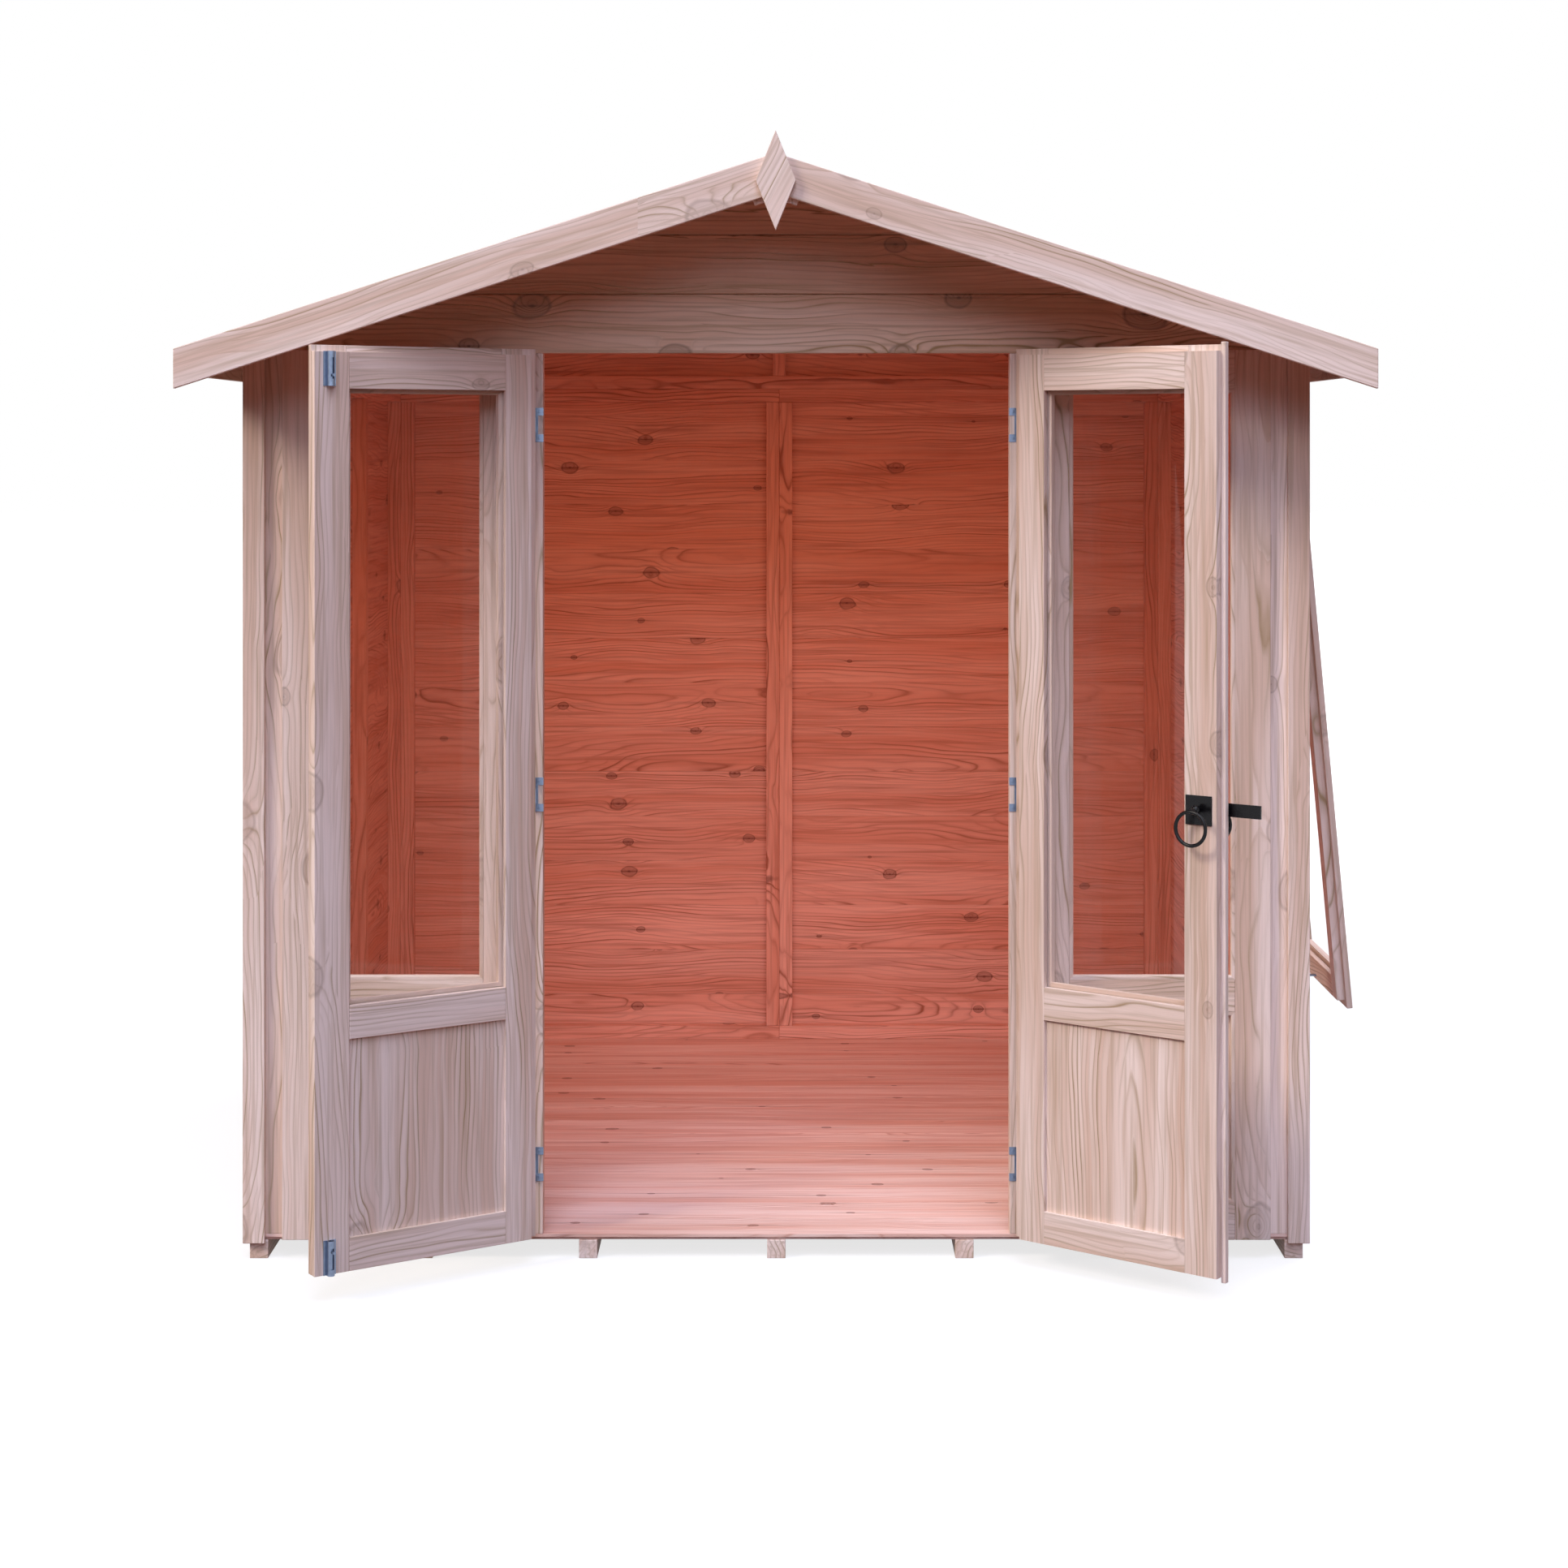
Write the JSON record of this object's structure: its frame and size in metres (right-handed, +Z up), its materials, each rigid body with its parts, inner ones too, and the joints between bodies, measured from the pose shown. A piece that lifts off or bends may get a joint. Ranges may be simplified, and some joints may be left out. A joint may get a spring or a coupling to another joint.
{
  "type": "summerhouse",
  "caption": "Timber summerhouse with a pitched roof, glazed double doors, glazed side panels and a top-hung side window.",
  "frame": {"origin": "at ground level under the middle of the floor, on the underside of the middle bearer", "axes": "+X to the right seen from the doorway side, +Y from the doors to the back wall, +Z up"},
  "size_m": [2.2996, 2.312, 2.1945],
  "materials": {
    "outside_wood": "planed softwood, dip treated, matt",
    "inside_wood": "sawn softwood, dip treated, matt",
    "floor_wood": "planed softwood boards, matt",
    "roof_felt": "mineral felt",
    "clear_glass": "clear float glass",
    "zinc_steel": "zinc plated",
    "black_iron": "black powder coat"
  },
  "bodies": {
    "building": {"floor_bearers": "outside_wood", "floor_boards": "floor_wood", "front_posts": "outside_wood", "side_panel_frames": "outside_wood", "side_panel_boards": "outside_wood", "side_panel_glass": "clear_glass", "front_gable_boards": "outside_wood", "front_gable_frame": "inside_wood", "left_wall_boards": "outside_wood", "left_wall_frame": "inside_wood", "right_wall_front_boards": "outside_wood", "right_wall_low_boards": "outside_wood", "right_wall_rear_boards": "outside_wood", "right_wall_frame": "inside_wood", "back_wall_boards": "outside_wood", "back_wall_frame": "inside_wood", "back_gable_boards": "outside_wood", "back_gable_frame": "inside_wood", "corner_strips": "outside_wood", "eave_rails": "inside_wood", "ridge_rails": "inside_wood", "roof_boards": "inside_wood", "roof_felt": "roof_felt", "front_barge_boards": "outside_wood", "back_barge_boards": "outside_wood", "barge_gussets": "outside_wood", "finials": "outside_wood", "eave_fascias": "outside_wood", "post_hinges": "zinc_steel", "window_sash": "outside_wood", "window_glass": "clear_glass", "window_hinges": "zinc_steel", "window_stay": "zinc_steel"},
    "left_door": {"left_door_frame": "outside_wood", "left_door_panel": "outside_wood", "left_door_glass": "clear_glass", "left_door_hinges": "zinc_steel", "latch_keep": "black_iron", "bolt_plates": "zinc_steel"},
    "right_door": {"right_door_frame": "outside_wood", "meeting_strip": "outside_wood", "right_door_panel": "outside_wood", "right_door_glass": "clear_glass", "right_door_hinges": "zinc_steel", "latch_plates": "black_iron"},
    "ring_latch": {"latch_bar": "black_iron"},
    "top_bolt": {"top_bolt": "zinc_steel"},
    "bottom_bolt": {"bottom_bolt": "zinc_steel"}
  },
  "joints": [
    {"name": "left_door_hinge", "type": "hinge", "parent": "building", "child": "left_door", "pos_m": [-0.476, -0.959, 0.914], "axis": [0, 0, -1], "range_deg": [-146.5, 2]},
    {"name": "right_door_hinge", "type": "hinge", "parent": "building", "child": "right_door", "pos_m": [0.476, -0.959, 0.914], "axis": [0, 0, 1], "range_deg": [-142.3, 6]},
    {"name": "latch_turn", "type": "hinge", "parent": "right_door", "child": "ring_latch", "pos_m": [0.80709, -1.21742, 0.922], "axis": [-0.6115, -0.7912, 0], "range_deg": [0, 35]},
    {"name": "top_bolt_slide", "type": "slide", "parent": "left_door", "child": "top_bolt", "axis": [0, 0, 1], "range_m": [0, 0.025]},
    {"name": "bottom_bolt_slide", "type": "slide", "parent": "left_door", "child": "bottom_bolt", "axis": [0, 0, -1], "range_m": [0, 0.025]}
  ]
}
